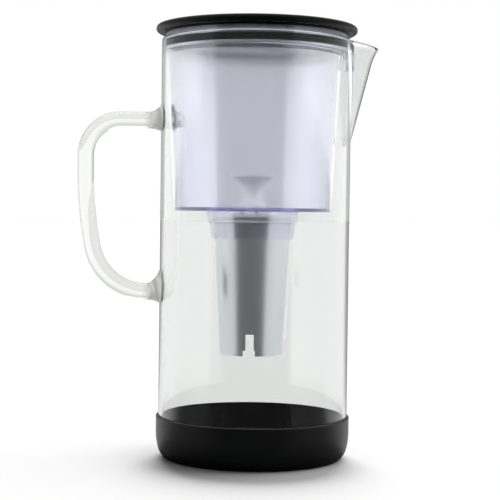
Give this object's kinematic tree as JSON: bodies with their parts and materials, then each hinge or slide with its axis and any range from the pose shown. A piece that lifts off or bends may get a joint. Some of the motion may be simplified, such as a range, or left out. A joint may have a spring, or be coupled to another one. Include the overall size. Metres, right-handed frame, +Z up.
{
  "type": "water filter pitcher",
  "caption": "Glass water filter pitcher with a drawn spout, bent rod handle, silicone boot, lift-out tinted funnel, drop-in filter cartridge and a lid with a flip-up fill flap.",
  "frame": {"origin": "centre of the flat foot of the boot, on the axis of the jug", "axes": "+Z up along the jug, -X towards the handle, +X towards the spout"},
  "size_m": [0.1853, 0.1232, 0.2638],
  "materials": {
    "clear_glass": "polished",
    "black_silicone": "satin",
    "tinted_clear_plastic": "gloss",
    "black_plastic": "satin",
    "pin_steel": "satin",
    "grey_plastic": "satin",
    "white_plastic": "satin",
    "seal_silicone": "satin",
    "mesh": "woven",
    "carbon_grains": "granular",
    "resin_grains": "granular"
  },
  "bodies": {
    "jug": {"glass_jug": "clear_glass", "glass_handle": "clear_glass", "base_boot": "black_silicone"},
    "funnel": {"reservoir": "tinted_clear_plastic", "rim_gasket": "black_silicone"},
    "lid": {"lid_cover": "black_plastic", "lid_base": "black_plastic", "flap_hinge_pin": "pin_steel"},
    "flap": {"fill_flap": "black_plastic", "flap_seal": "seal_silicone"},
    "cartridge": {"filter_shell": "grey_plastic", "filter_cap": "white_plastic", "filter_seal": "seal_silicone", "top_screen": "mesh", "carbon_bed": "carbon_grains", "resin_bed": "resin_grains", "bottom_screen": "mesh"}
  },
  "joints": [
    {"name": "funnel_lift", "type": "slide", "parent": "jug", "child": "funnel", "axis": [0, 0, 1], "range_m": [0, 0.21]},
    {"name": "lid_lift", "type": "slide", "parent": "funnel", "child": "lid", "axis": [0, 0, 1], "range_m": [0, 0.1]},
    {"name": "flap_hinge", "type": "hinge", "parent": "lid", "child": "flap", "pos_m": [-0.0365, 0, 0.2619], "axis": [0, -1, 0], "range_deg": [0, 95]},
    {"name": "cartridge_lift", "type": "slide", "parent": "funnel", "child": "cartridge", "axis": [0, 0, 1], "range_m": [0, 0.08]}
  ]
}
